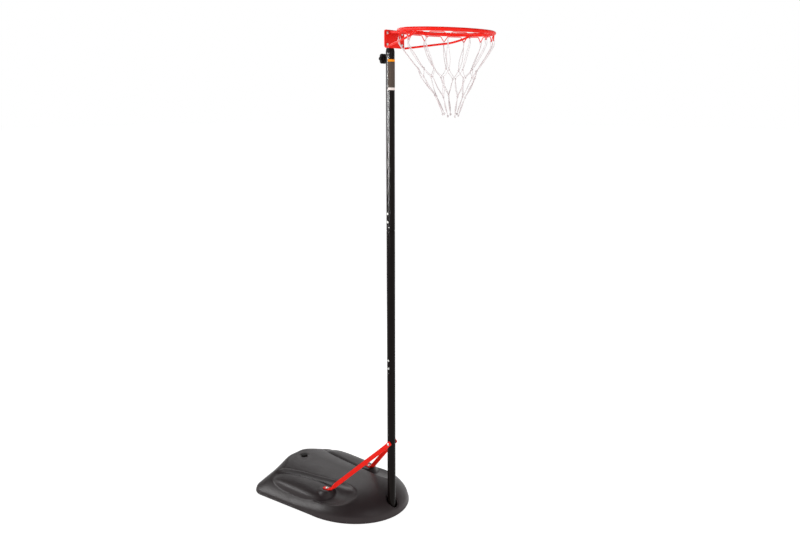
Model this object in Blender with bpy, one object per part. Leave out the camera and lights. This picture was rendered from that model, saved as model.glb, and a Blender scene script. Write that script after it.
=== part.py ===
"""Portable netball goal stand: water tank base, sectional pole, sliding head, ring and net.

Metres, +Z up. The origin is on the pole's axis at floor level, and the ring stands out along +X.
"""
import math

import bmesh
import bpy
from mathutils import Matrix, Vector

# Base tank
BASE_BACK_X = -0.724
BASE_FRONT_X = 0.042
BASE_WIDEST_FRONT_X = -0.290     # where the rounded front begins
BASE_HALF_WIDTH = 0.280          # there
BASE_FLARE = math.radians(3.7)   # the sides open towards the back
BASE_CORNER = 0.085
BASE_CENTRE_X = -0.360
CROWN_HEIGHT = 0.1195
SHOULDER = 0.260                 # how far in the rounded shoulder reaches
SHOULDER_BACK = 0.050            # at the middle of the back
SHOULDER_CORNER = 0.115
FOOT_ROUND = 0.010
WALL = 0.0045
OVAL_POWER = 2 / 3.0             # a dish is squarer than an ellipse, whose power is 1
OVAL_TURN = math.radians(5.0)
DISH_CENTRE = (-0.3950, 0.1810)
DISH_SIZE = (0.2970, 0.0790)
DISH_TAPER = 0.20                # wider towards the front
DISH_MIDDLE_Z = 0.0630
DISH_FALL = 0.0175               # the floor is higher by this inside, and lower outside
BULGE_CENTRE = (-0.4500, 0.1880)
BULGE_SIZE = (0.1920, 0.0610)
PAD_Z = 0.0940
WELL_RADIUS = 0.0290
SOCKET_RADIUS = 0.0206
SOCKET_TOP = 0.024
FILLER_X = -0.622
FILLER_RADIUS = 0.0125
FILLER_SEAT_RADIUS = 0.019
FILLER_SEAT_Z = 0.1165

# Pole
POLE_R = 0.0200
POLE_WALL = 0.0015
SWAGE_R = 0.0181
SWAGE_LENGTH = 0.095
FOOT_Z = 0.0110
JOINT_LOW_Z = 0.7360
JOINT_MID_Z = 1.4255
POLE_TOP_Z = 2.2190
JOINT_BOLT_RISES = (0.0225, 0.0625)
MID_BOLT_RISES = (0.0395, 0.0785)
BUTTON_RISE = 0.0160
BUTTON_ANGLE = math.radians(-72.0)
STRUT_BOLT_Z = 0.3700

# Sliding head
INNER_R = 0.0160
INNER_WALL = 0.0015
INNER_BOTTOM_Z = 1.5480
INNER_TOP_Z = 2.3040
BUSH_TOP_Z = 2.2371
KNOB_Z = 2.1945
LABEL_BOTTOM_Z = 2.0577
LABEL_TOP_Z = 2.1900
LABEL_HALF_ANGLE = math.radians(80.0)

# Rim
PLATE_FRONT_X = 0.0258
PLATE_THICK = 0.0040
PLATE_HALF_WIDTH = 0.0668
PLATE_BOTTOM_Z = 2.2368
PLATE_TOP_Z = 2.3123
PLATE_BOLT_Y = 0.0500
PLATE_BOLT_ZS = (2.2514, 2.2989)
RING_R = 0.1980
RING_ROD = 0.0080
RING_OUT = 0.2790                # from the plate's front to the ring's centre
RING_AT_PLATE_Z = 2.3045
RING_DROOP = math.radians(2.8)
HOOKS = 14
HOOK_WIRE = 0.0019
HOOK_HALF_WIDTH = 0.0155
HOOK_TIP = 0.0315                # below the ring's centre line
BRACE_ROD = 0.0046
BRACE_END_ANGLE = math.radians(94.5)
BRACE_OFFSET = (0.0105, 0.0082)  # its end lies inside and below the ring's centre line
BRACE_BEND = (0.2085, 0.1610, 2.2590)

# Struts: the near side has negative Y, and the other is its mirror image
STRUT_WIDTH = 0.0220
STRUT_THICK = 0.0040
STRUT_TOE = Vector((-0.3120, -0.1630, PAD_Z + 0.0023))
STRUT_BOLT = Vector((-0.2910, -0.1600, PAD_Z))
STRUT_ELBOW = Vector((-0.2720, -0.1570, PAD_Z + 0.0023))

# Net
NET_CORD = 0.0024
NET_ROWS = (                     # depth under the ring, radius, shift towards +X and +Y
    (0.0520, 0.180, 0.003, 0.002),
    (0.150, 0.128, 0.012, 0.006),
    (0.186, 0.112, 0.016, 0.008),
    (0.262, 0.068, 0.026, 0.012),
    (0.338, 0.034, 0.034, 0.016),
)

GAP = 0.0003


# ---------------------------------------------------------------- helpers

def clear_scene():
    for old in list(bpy.data.objects):
        bpy.data.objects.remove(old, do_unlink=True)


def material(name, colour, roughness, metallic=0.0):
    mat = bpy.data.materials.new(name)
    mat.use_nodes = True
    shader = mat.node_tree.nodes["Principled BSDF"]
    shader.inputs["Base Color"].default_value = (*colour, 1.0)
    shader.inputs["Roughness"].default_value = roughness
    shader.inputs["Metallic"].default_value = metallic
    return mat


COLOURS = {
    "tank_plastic": ((0.035, 0.030, 0.030), 0.55, 0.0),
    "black_plastic": ((0.012, 0.012, 0.013), 0.45, 0.0),
    "black_paint": ((0.010, 0.009, 0.009), 0.28, 0.0),
    "red_paint": ((0.55, 0.012, 0.010), 0.32, 0.0),
    "zinc": ((0.62, 0.60, 0.57), 0.35, 1.0),
    "grey_button": ((0.30, 0.30, 0.31), 0.4, 1.0),
    "rubber": ((0.02, 0.02, 0.02), 0.8, 0.0),
    "label_film": ((0.20, 0.16, 0.14), 0.5, 0.0),
    "net_cord": ((0.86, 0.84, 0.82), 0.9, 0.0),
}


def finish(name, bm, finish_name, matrix=None, smooth=True):
    """Turn a bmesh into a named object with its own material."""
    if matrix is not None:
        bmesh.ops.transform(bm, matrix=matrix, verts=bm.verts)
        if matrix.determinant() < 0:
            bmesh.ops.reverse_faces(bm, faces=bm.faces)
    mesh = bpy.data.meshes.new(name)
    bm.to_mesh(mesh)
    bm.free()
    obj = bpy.data.objects.new(name, mesh)
    bpy.context.scene.collection.objects.link(obj)
    colour, roughness, metallic = COLOURS[finish_name]
    mesh.materials.append(material(name + "_finish", colour, roughness, metallic))
    if smooth:
        mesh.shade_smooth()
        mesh.set_sharp_from_angle(angle=math.radians(35))
    return obj


def cutter(obj):
    obj.hide_render = True
    obj.display_type = "WIRE"
    return obj


def boolean(obj, other, operation="DIFFERENCE"):
    mod = obj.modifiers.new("cut", "BOOLEAN")
    mod.operation = operation
    mod.solver = "EXACT"
    mod.object = other


def bridge_rings(bm, rings, closed):
    """Join consecutive rings of vertices with quads; the rings run anticlockwise going up."""
    count = len(rings[0])
    pairs = list(zip(rings, rings[1:]))
    if closed:
        pairs.append((rings[-1], rings[0]))
    for low, high in pairs:
        for i in range(count):
            j = (i + 1) % count
            bm.faces.new((low[i], low[j], high[j], high[i]))


def lathe(profile, segments=24, hollow=False):
    """Turn (radius, z) points about Z. A solid's profile runs up its outside and is capped;
    a hollow one goes up the outside, down the inside, and closes on itself."""
    bm = bmesh.new()
    rings = []
    for radius, z in profile:
        ring = []
        for i in range(segments):
            turn = math.tau * i / segments
            ring.append(bm.verts.new((radius * math.cos(turn), radius * math.sin(turn), z)))
        rings.append(ring)
    bridge_rings(bm, rings, closed=hollow)
    if not hollow:
        bm.faces.new(reversed(rings[0]))
        bm.faces.new(rings[-1])
    return bm


def prism(outline, low, high):
    """Extrude an anticlockwise XY outline from z = low to z = high."""
    bm = bmesh.new()
    rings = [[bm.verts.new((x, y, z)) for x, y in outline] for z in (low, high)]
    bridge_rings(bm, rings, closed=False)
    bm.faces.new(reversed(rings[0]))
    bm.faces.new(rings[1])
    return bm


def sweep(points, radius, sides=8, closed=False):
    """A round bar along a list of points."""
    bm = bmesh.new()
    count = len(points)
    rings = []
    across = None
    for i, point in enumerate(points):
        if closed:
            along = points[(i + 1) % count] - points[i - 1]
        else:
            along = points[min(i + 1, count - 1)] - points[max(i - 1, 0)]
        along.normalize()
        if across is None:
            across = along.orthogonal().normalized()
        across = (across - along * across.dot(along)).normalized()
        other = along.cross(across)
        ring = []
        for k in range(sides):
            turn = math.tau * k / sides
            ring.append(bm.verts.new(point + radius * (math.cos(turn) * across + math.sin(turn) * other)))
        rings.append(ring)
    bridge_rings(bm, rings, closed=False)
    if closed:
        last, first = rings[-1], rings[0]
        nearest = min(range(sides), key=lambda k: (first[k].co - last[0].co).length)
        shifted = first[nearest:] + first[:nearest]
        bridge_rings(bm, [last, shifted], closed=False)
    else:
        bm.faces.new(reversed(rings[0]))
        bm.faces.new(rings[-1])
    return bm


def smooth_path(points, steps):
    """Points on a smooth curve (Catmull-Rom) through the given ones."""
    out = []
    padded = [points[0]] + list(points) + [points[-1]]
    for a, b, c, d in zip(padded, padded[1:], padded[2:], padded[3:]):
        for k in range(steps):
            t = k / steps
            out.append(0.5 * (2 * b + (c - a) * t + (2 * a - 5 * b + 4 * c - d) * t * t
                              + (3 * b - a - 3 * c + d) * t ** 3))
    out.append(points[-1].copy())
    return out


def facing(direction, origin):
    """A matrix that turns local +Z to a direction and moves it to an origin."""
    return Matrix.Translation(origin) @ Vector(direction).to_track_quat("Z", "Y").to_matrix().to_4x4()


def smoothstep(value):
    value = min(max(value, 0.0), 1.0)
    return value * value * (3 - 2 * value)


def drill(obj, radius, direction, origin, length, name):
    """Cut a round hole centred on an origin."""
    tool = lathe([(radius, -length / 2), (radius, length / 2)], 12)
    boolean(obj, cutter(finish(name, tool, "zinc", facing(direction, origin))))


# ---------------------------------------------------------------- base tank

def base_outline(turn, inset=0.0):
    """The plan outline in the direction of an angle seen from the tank's centre."""
    direction = Vector((math.cos(turn), math.sin(turn)))
    low, high = 0.0, 1.2
    for _ in range(40):
        mid = (low + high) / 2
        if inside_base(BASE_CENTRE_X + mid * direction.x, mid * direction.y, inset):
            low = mid
        else:
            high = mid
    return low * direction


def inside_base(x, y, inset):
    y = abs(y)
    if x > BASE_WIDEST_FRONT_X:
        reach = BASE_FRONT_X - inset - BASE_WIDEST_FRONT_X
        width = BASE_HALF_WIDTH - inset
        return ((x - BASE_WIDEST_FRONT_X) / reach) ** 2 + (y / width) ** 2 < 1
    width = BASE_HALF_WIDTH - inset + (BASE_WIDEST_FRONT_X - x) * math.tan(BASE_FLARE)
    back = BASE_BACK_X + inset
    radius = BASE_CORNER - inset
    if x < back or y > width:
        return False
    over_x = back + radius - x
    over_y = y - (width - radius)
    return not (over_x > 0 and over_y > 0 and math.hypot(over_x, over_y) > radius)


def oval_point(turn, reach, centre, size, side):
    """A point of a dish's plan outline scaled by reach, and the height of the dish's floor there."""
    along = reach * math.copysign(abs(math.cos(turn)) ** OVAL_POWER, math.cos(turn))
    across = reach * math.copysign(abs(math.sin(turn)) ** OVAL_POWER, math.sin(turn))
    dx = along * size[0]
    dy = across * size[1] * (1 + DISH_TAPER * along)
    x = centre[0] + dx * math.cos(OVAL_TURN) + dy * math.sin(OVAL_TURN)
    y = centre[1] - dx * math.sin(OVAL_TURN) + dy * math.cos(OVAL_TURN)
    floor = DISH_MIDDLE_Z - DISH_FALL * (y - DISH_CENTRE[1]) / DISH_SIZE[1]
    return Vector((x, side * y, floor))


def oval_body(name, centre, size, side, rows, segments):
    """A closed body of oval rings, each (reach, height over the dish's floor)."""
    bm = bmesh.new()
    rings = []
    for reach, height in rows:
        points = [oval_point(side * math.tau * i / segments, reach, centre, size, side)
                  for i in range(segments)]
        rings.append([bm.verts.new(p + Vector((0, 0, height))) for p in points])
    bridge_rings(bm, rings, closed=False)
    for ring, height, flip in ((rings[0], rows[0][1], True), (rings[-1], rows[-1][1], False)):
        middle = oval_point(0.0, 0.0, centre, size, side)
        tip = bm.verts.new(middle + Vector((0, 0, height)))
        for i in range(segments):
            corners = (ring[i], ring[(i + 1) % segments], tip)
            bm.faces.new(reversed(corners) if flip else corners)
    bmesh.ops.recalc_face_normals(bm, faces=bm.faces)
    return finish(name, bm, "tank_plastic")


def edge_distances(x, y):
    """How far in a point is from the sides and front, from the back, and from the outline."""
    side = abs(y)
    back = x - BASE_BACK_X
    if x > BASE_WIDEST_FRONT_X:
        reach = BASE_FRONT_X - BASE_WIDEST_FRONT_X
        u = (x - BASE_WIDEST_FRONT_X) / reach
        v = side / BASE_HALF_WIDTH
        out = math.hypot(u, v)
        slope = math.hypot(u / reach, v / BASE_HALF_WIDTH)
        flank = (1 - out) * out / slope if slope > 1e-6 else BASE_HALF_WIDTH
        return flank, back, flank
    flank = BASE_HALF_WIDTH + (BASE_WIDEST_FRONT_X - x) * math.tan(BASE_FLARE) - side
    over_x = BASE_CORNER - back
    over_y = BASE_CORNER - flank
    nearest = min(flank, back)
    if over_x > 0 and over_y > 0:
        nearest = BASE_CORNER - math.hypot(over_x, over_y)
    return flank, back, nearest


def rounded(edge, shoulder, power=2.0):
    """How high a rounded shoulder has risen, 0 to 1. A power under 2 makes it lean in more."""
    inward = min(max(edge / shoulder, 0.0), 1.0)
    return max(1 - (1 - inward) ** power, 0.0) ** (1 / power)


def base_top(x, y, lining=False):
    """Height of the tank's crown. The lining is the cavity's roof, which stays under the dishes."""
    flank, back, nearest = edge_distances(x, y)
    shoulder_back = SHOULDER_BACK + (SHOULDER_CORNER - SHOULDER_BACK) * smoothstep((abs(y) - 0.03) / 0.15)
    lean = 1.5 + 0.5 * smoothstep((x + 0.45) / 0.30)
    z = CROWN_HEIGHT * rounded(flank, SHOULDER, lean) * rounded(back, shoulder_back)
    z *= rounded(nearest, FOOT_ROUND)
    if not lining:
        return z
    ridge = 0.055 + 0.055 * smoothstep((-0.25 - x) / 0.20)
    side = abs(y)
    return min(z, 0.118 - 0.040 * smoothstep(side / ridge) - 0.24 * max(side - 0.100, 0.0))


def tank_mesh(turns, steps, inset=0.0, drop=0.0, floor=0.0, stop_x=None, lining=False):
    """A closed body with the tank's outline and top, inset and lowered for the cavity."""
    bm = bmesh.new()
    reaches = [base_outline(math.tau * i / turns, inset) for i in range(turns)]
    rings = [[bm.verts.new((BASE_CENTRE_X + 0.992 * r.x, 0.992 * r.y, floor)) for r in reaches]]
    rings.append([bm.verts.new((BASE_CENTRE_X + r.x, r.y, floor + 0.004)) for r in reaches])
    for step in range(1, steps):
        along = 1 - (step / steps) ** 1.7
        ring = []
        for reach in reaches:
            x = BASE_CENTRE_X + along * reach.x
            y = along * reach.y
            z = max(base_top(x, y, lining) - drop, floor + 0.006)
            ring.append(bm.verts.new((x, y, z)))
        rings.append(ring)
    if stop_x is not None:
        for ring in rings:
            for vert in ring:
                vert.co.x = min(vert.co.x, stop_x)
    bridge_rings(bm, rings, closed=False)
    top = bm.verts.new((BASE_CENTRE_X, 0.0, base_top(BASE_CENTRE_X, 0.0, lining) - drop))
    for i in range(turns):
        bm.faces.new((rings[-1][i], rings[-1][(i + 1) % turns], top))
    bm.faces.new(reversed(rings[0]))
    return bm


def flat_seat(tank, x, y, radius, z):
    """Fill up to a flat round seat, and clear what stands above it."""
    spot = Matrix.Translation((x, y, z))
    boss = lathe([(radius, -0.020), (radius, 0.0)], 20)
    boolean(tank, cutter(finish("seat_boss", boss, "zinc", spot)), "UNION")
    clear = lathe([(radius + 0.0015, 0.0), (radius + 0.0015, 0.03)], 20)
    boolean(tank, cutter(finish("seat_clear", clear, "zinc", spot)))


def build_base():
    tank = finish("base_tank", tank_mesh(64, 15), "tank_plastic")
    dish = [(0.55, 0.0), (0.80, 0.0012), (0.90, 0.0060), (0.96, 0.0160), (1.00, 0.0320), (1.06, 0.12)]
    bulge = [(0.99, -0.012), (1.0, -0.001), (0.96, 0.0090), (0.87, 0.0180), (0.70, 0.0255),
             (0.46, 0.0305), (0.20, 0.0328)]
    for side in (-1, 1):
        boolean(tank, cutter(oval_body("dish_cut", DISH_CENTRE, DISH_SIZE, side, dish, 44)))
        boolean(tank, cutter(oval_body("bulge", BULGE_CENTRE, BULGE_SIZE, side, bulge, 32)), "UNION")
    flat_seat(tank, FILLER_X, 0.0, FILLER_SEAT_RADIUS, FILLER_SEAT_Z)
    for side in (-1, 1):
        flat_seat(tank, STRUT_BOLT.x, side * -STRUT_BOLT.y, 0.0240, PAD_Z)
    cavity = finish("tank_cavity", tank_mesh(32, 9, 0.010, 0.0080, WALL, -0.034, True), "tank_plastic")
    for side in (-1, 1):
        boss = lathe([(0.012, 0.040), (0.012, 0.140)], 12)
        spot = Matrix.Translation((STRUT_BOLT.x, side * -STRUT_BOLT.y, 0))
        boolean(cavity, cutter(finish("boss_cut", boss, "zinc", spot)))
    boolean(tank, cutter(cavity))
    well = lathe([(SOCKET_RADIUS, 0.007), (SOCKET_RADIUS, SOCKET_TOP), (WELL_RADIUS, SOCKET_TOP + 0.004),
                  (WELL_RADIUS, 0.2)], 28)
    boolean(tank, cutter(finish("well_cut", well, "tank_plastic")))
    filler = lathe([(FILLER_RADIUS, 0.085), (FILLER_RADIUS, 0.2)], 20)
    boolean(tank, cutter(finish("filler_cut", filler, "tank_plastic", Matrix.Translation((FILLER_X, 0, 0)))))
    for side in (-1, 1):
        spot = Vector((STRUT_BOLT.x, side * -STRUT_BOLT.y, PAD_Z))
        drill(tank, 0.0033, (0, 0, 1), spot, 0.050, "strut_hole")


def build_filler():
    spot = Matrix.Translation((FILLER_X, 0, FILLER_SEAT_Z))
    seal = lathe([(0.0165, GAP), (0.0165, 0.0018), (0.0128, 0.0018), (0.0128, GAP)], 20, hollow=True)
    finish("cap_seal", seal, "rubber", spot)
    cap = lathe([(0.0112, -0.0125), (0.0120, -0.0115), (0.0120, 0.0021), (0.0172, 0.0021),
                 (0.0172, 0.0062), (0.0158, 0.0076), (0.0080, 0.0080)], 20)
    grip = finish("filler_cap", cap, "black_plastic", spot)
    for i in range(4):
        notch = lathe([(0.0020, 0.0035), (0.0020, 0.02)], 8)
        turn = math.tau * (i + 0.5) / 4
        offset = Matrix.Translation((0.0178 * math.cos(turn), 0.0178 * math.sin(turn), 0))
        boolean(grip, cutter(finish("cap_notch", notch, "black_plastic", spot @ offset)))


# ---------------------------------------------------------------- pole

def bolt_profile(shank, length, head=0.0056, height=0.0036):
    """Pan-head screw with its shank going down from z = 0."""
    return [(shank, -length), (shank, 0.0), (head, 0.0), (head, height * 0.45),
            (head * 0.72, height * 0.85), (head * 0.35, height)]


def add_bolt(name, origin, direction, length, shank=0.0030, head=0.0056):
    finish(name, lathe(bolt_profile(shank, length, head), 12), "zinc", facing(direction, origin))


def add_nut(name, origin, direction, bore=0.0032, across=0.0055, height=0.0048):
    """Hexagon nut standing up from the origin; its bore is the width across the hexagonal hole's flats."""
    bore /= math.cos(math.pi / 6)
    profile = [(across * 0.92, 0.0), (across, 0.0006), (across, height - 0.0006), (across * 0.9, height),
               (bore, height), (bore, 0.0)]
    finish(name, lathe(profile, 6, hollow=True), "zinc", facing(direction, origin), smooth=False)


def tube_with_swage(name, low, joint):
    inner = POLE_R - POLE_WALL
    swage_in = SWAGE_R - POLE_WALL
    top = joint + SWAGE_LENGTH
    profile = [(POLE_R, low), (POLE_R, joint - 0.006), (POLE_R - 0.0003, joint - 0.0042),
               (SWAGE_R, joint - 0.0012), (SWAGE_R, top), (swage_in, top),
               (swage_in, joint - 0.006), (inner, joint - 0.011), (inner, low)]
    return finish(name, lathe(profile, 24, hollow=True), "black_paint")


def build_pole():
    inner = POLE_R - POLE_WALL
    lower = tube_with_swage("lower_pole", FOOT_Z, JOINT_LOW_Z)
    middle = tube_with_swage("middle_pole", JOINT_LOW_Z, JOINT_MID_Z)
    profile = [(POLE_R, JOINT_MID_Z), (POLE_R, POLE_TOP_Z), (inner, POLE_TOP_Z), (inner, JOINT_MID_Z)]
    upper = finish("upper_pole", lathe(profile, 24, hollow=True), "black_paint")
    plug = lathe([(POLE_R - 0.001, FOOT_Z - 0.0035), (POLE_R - 0.0002, FOOT_Z - 0.0025),
                  (POLE_R - 0.0002, FOOT_Z - GAP), (inner - GAP, FOOT_Z - GAP),
                  (inner - 0.0006, FOOT_Z + 0.018)], 24)
    finish("foot_plug", plug, "black_plastic")
    joints = ((lower, middle, "lower", JOINT_LOW_Z, JOINT_BOLT_RISES),
              (middle, upper, "middle", JOINT_MID_Z, MID_BOLT_RISES))
    for below, above, label, joint, rises in joints:
        for place, rise in zip(("a", "b"), rises):
            spot = Vector((0, 0, joint + rise))
            for tube in (below, above):
                drill(tube, 0.0033, (0, 1, 0), spot, 0.06, "joint_hole")
            near = spot + Vector((0, -POLE_R - GAP, 0))
            add_bolt(f"{label}_joint_bolt_{place}", near, (0, -1, 0), 2 * POLE_R + 0.0065)
            add_nut(f"{label}_joint_nut_{place}", spot + Vector((0, POLE_R + GAP, 0)), (0, 1, 0))
    for tube, name in ((middle, "button_hole_in"), (upper, "button_hole_out")):
        out = Vector((math.cos(BUTTON_ANGLE), math.sin(BUTTON_ANGLE), 0))
        drill(tube, 0.0038, out, out * POLE_R + Vector((0, 0, JOINT_MID_Z + BUTTON_RISE)), 0.02, name)
    drill(lower, 0.0038, (0, 1, 0), Vector((0, 0, STRUT_BOLT_Z)), 0.06, "strut_bolt_hole")
    drill(upper, 0.0045, (1, 0, 0), Vector((-POLE_R, 0, KNOB_Z)), 0.012, "stud_hole")


def build_button():
    """Snap button with a flange inside the tube, and the leaf spring behind it."""
    out = Vector((math.cos(BUTTON_ANGLE), math.sin(BUTTON_ANGLE), 0))
    spot = facing(out, Vector((0, 0, JOINT_MID_Z + BUTTON_RISE)))
    inside = SWAGE_R - POLE_WALL
    button = lathe([(0.0048, inside - 0.0040), (0.0048, inside - 0.0012), (0.0034, inside - 0.0012),
                    (0.0034, POLE_R + 0.0018), (0.0026, POLE_R + 0.0032), (0.0010, POLE_R + 0.0036)], 12)
    finish("snap_button", button, "grey_button", spot)
    half = 0.0035
    front = Vector((0.0075, 0.0, 0.0))
    back = Vector((-0.0150, 0.0, 0.0))
    bend = Vector((-0.0040, 0.0, -0.045))
    line = smooth_path([front, front + Vector((-0.001, 0, -0.012)), bend,
                        back + Vector((0.0005, 0, -0.016)), back], 4)
    thin = 0.0005
    bm = bmesh.new()
    rings = []
    for i, point in enumerate(line):
        along = (line[min(i + 1, len(line) - 1)] - line[max(i - 1, 0)]).normalized()
        normal = Vector((0, 1, 0)).cross(along)
        corners = ((-half, thin), (-half, -thin), (half, -thin), (half, thin))
        rings.append([bm.verts.new(point + Vector((0, a, 0)) + normal * b) for a, b in corners])
    bridge_rings(bm, rings, closed=False)
    bm.faces.new(reversed(rings[0]))
    bm.faces.new(rings[-1])
    bmesh.ops.recalc_face_normals(bm, faces=bm.faces)
    turn = Matrix.Rotation(BUTTON_ANGLE, 4, "Z")
    finish("button_spring", bm, "zinc", Matrix.Translation((0, 0, JOINT_MID_Z + BUTTON_RISE)) @ turn)


def build_head_tube():
    inner = INNER_R - INNER_WALL
    profile = [(INNER_R, INNER_BOTTOM_Z), (INNER_R, INNER_TOP_Z),
               (inner, INNER_TOP_Z), (inner, INNER_BOTTOM_Z)]
    finish("inner_tube", lathe(profile, 24, hollow=True), "black_paint")
    guide = [(0.0178, INNER_BOTTOM_Z - 0.004), (0.0182, INNER_BOTTOM_Z - 0.003),
             (0.0182, INNER_BOTTOM_Z + 0.026), (INNER_R + GAP, INNER_BOTTOM_Z + 0.026),
             (INNER_R + GAP, INNER_BOTTOM_Z - GAP), (inner - 0.001, INNER_BOTTOM_Z - GAP),
             (inner - 0.001, INNER_BOTTOM_Z - 0.004)]
    finish("tube_guide", lathe(guide, 24, hollow=True), "black_plastic")
    bush = [(0.0182, POLE_TOP_Z - 0.013), (0.0182, POLE_TOP_Z + GAP), (POLE_R, POLE_TOP_Z + GAP),
            (POLE_R, POLE_TOP_Z + 0.0035), (INNER_R + 0.0016, BUSH_TOP_Z - 0.0008),
            (INNER_R + 0.0010, BUSH_TOP_Z - 0.0005), (INNER_R + GAP, BUSH_TOP_Z - 0.0005),
            (INNER_R + GAP, POLE_TOP_Z - 0.013)]
    finish("top_bush", lathe(bush, 24, hollow=True), "black_plastic")
    cap = lathe([(inner - 0.0006, INNER_TOP_Z - 0.014), (inner - GAP, INNER_TOP_Z + GAP),
                 (INNER_R, INNER_TOP_Z + GAP), (INNER_R, INNER_TOP_Z + 0.003),
                 (INNER_R - 0.003, INNER_TOP_Z + 0.005)], 24)
    finish("top_cap", cap, "black_plastic")


def build_knob():
    """Clamp knob on the back of the pole, its stud, and the nut welded on the pole."""
    out = Vector((-1, 0, 0))
    nut = facing(out, Vector((-POLE_R - 0.0002, 0, KNOB_Z)))
    profile = [(0.0074, 0.0), (0.0080, 0.0008), (0.0080, 0.0072), (0.0073, 0.0078),
               (0.0048, 0.0078), (0.0048, 0.0)]
    finish("weld_nut", lathe(profile, 6, hollow=True), "black_paint", nut, smooth=False)
    stud = facing(out, Vector((0, 0, KNOB_Z)))
    finish("knob_stud", lathe([(0.0026, INNER_R + 0.0004), (0.0039, INNER_R + 0.0018), (0.0039, 0.0440)], 14),
           "zinc", stud)
    lobes = 6
    outline = []
    points = 48
    for i in range(points):
        turn = math.tau * i / points
        wave = math.cos(lobes * turn)
        radius = 0.0208 + 0.0027 * (1 - (1 - wave) ** 2 / 2)
        outline.append((radius * math.cos(turn), radius * math.sin(turn)))
    bm = bmesh.new()
    levels = ((0.34, 0.0292), (0.46, 0.0296), (0.48, 0.0338), (0.88, 0.0345), (1.0, 0.0368), (1.0, 0.0455),
              (0.90, 0.0490), (0.50, 0.0505), (0.42, 0.0520), (0.20, 0.0525))
    rings = []
    for scale, z in levels:
        ring = []
        for x, y in outline:
            round_radius = 0.0225 * scale
            length = math.hypot(x, y)
            mix = smoothstep((scale - 0.45) / 0.45)
            grow = scale * mix + round_radius / length * (1 - mix)
            ring.append(bm.verts.new((x * grow, y * grow, z)))
        rings.append(ring)
    bridge_rings(bm, rings, closed=False)
    bm.faces.new(reversed(rings[0]))
    bm.faces.new(rings[-1])
    knob = finish("clamp_knob", bm, "black_plastic", stud)
    drill(knob, 0.0042, out, Vector((-0.0292, 0, KNOB_Z)), 0.0304, "stud_bore")


def build_label():
    """Thin film wrapped round the front of the upper pole."""
    bm = bmesh.new()
    steps = 16
    rings = []
    corners = ((POLE_R + 0.0002, LABEL_BOTTOM_Z), (POLE_R + 0.0006, LABEL_BOTTOM_Z),
               (POLE_R + 0.0006, LABEL_TOP_Z), (POLE_R + 0.0002, LABEL_TOP_Z))
    for i in range(steps + 1):
        turn = LABEL_HALF_ANGLE * (2 * i / steps - 1)
        rings.append([bm.verts.new((r * math.cos(turn), r * math.sin(turn), z)) for r, z in corners])
    for low, high in zip(rings, rings[1:]):
        for i in range(4):
            j = (i + 1) % 4
            bm.faces.new((low[i], high[i], high[j], low[j]))
    bm.faces.new(rings[0])
    bm.faces.new(reversed(rings[-1]))
    finish("label", bm, "label_film")


# ---------------------------------------------------------------- struts

def strut_stations():
    """Centre, width direction and normal of the bar at each station, from toe to top."""
    top = Vector((0.0, -POLE_R - GAP - STRUT_THICK / 2, STRUT_BOLT_Z))
    flat = (STRUT_ELBOW - STRUT_TOE).normalized()
    foot_across = Vector((0, 0, 1)).cross(flat)
    rise = (top - STRUT_ELBOW).normalized()
    lean = Vector((top.x - STRUT_ELBOW.x, 0, top.z - STRUT_ELBOW.z)).normalized()
    top_across = Vector((-lean.z, 0, lean.x))
    main_across = (top_across - rise * top_across.dot(rise)).normalized()
    half_across = (foot_across * 0.75 + main_across * 0.65 + Vector((0, 0, 0.1))).normalized()
    bend = top - lean * 0.030
    out = []
    for centre, across, along in (
            (STRUT_TOE, foot_across, flat),
            (STRUT_TOE + flat * 0.006, foot_across, flat),
            (STRUT_ELBOW - flat * 0.004, foot_across, flat),
            (STRUT_ELBOW + rise * 0.012, half_across, (flat + rise).normalized()),
            (STRUT_ELBOW + rise * 0.038, main_across, rise),
            (bend - rise * 0.006, main_across, rise),
            (bend + lean * 0.004, top_across, lean),
            (top + lean * 0.010, top_across, lean),
            (top + lean * 0.016, top_across, lean)):
        across = (across - along * across.dot(along)).normalized()
        out.append((centre, across, across.cross(along).normalized()))
    return out


def strut_mesh(side):
    bm = bmesh.new()
    rings = []
    stations = strut_stations()
    for i, (centre, across, normal) in enumerate(stations):
        ends = i in (0, len(stations) - 1)
        half = STRUT_WIDTH / 2 * (0.68 if ends else 1.0)
        thin = STRUT_THICK / 2
        corners = ((-half, -thin), (half, -thin), (half, thin), (-half, thin))
        rings.append([bm.verts.new(centre + across * a + normal * b) for a, b in corners])
    bridge_rings(bm, rings, closed=False)
    bm.faces.new(reversed(rings[0]))
    bm.faces.new(rings[-1])
    bmesh.ops.recalc_face_normals(bm, faces=bm.faces)
    mirror = Matrix.Scale(-1, 4, (0, 1, 0)) if side > 0 else None
    return bm, mirror


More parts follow.
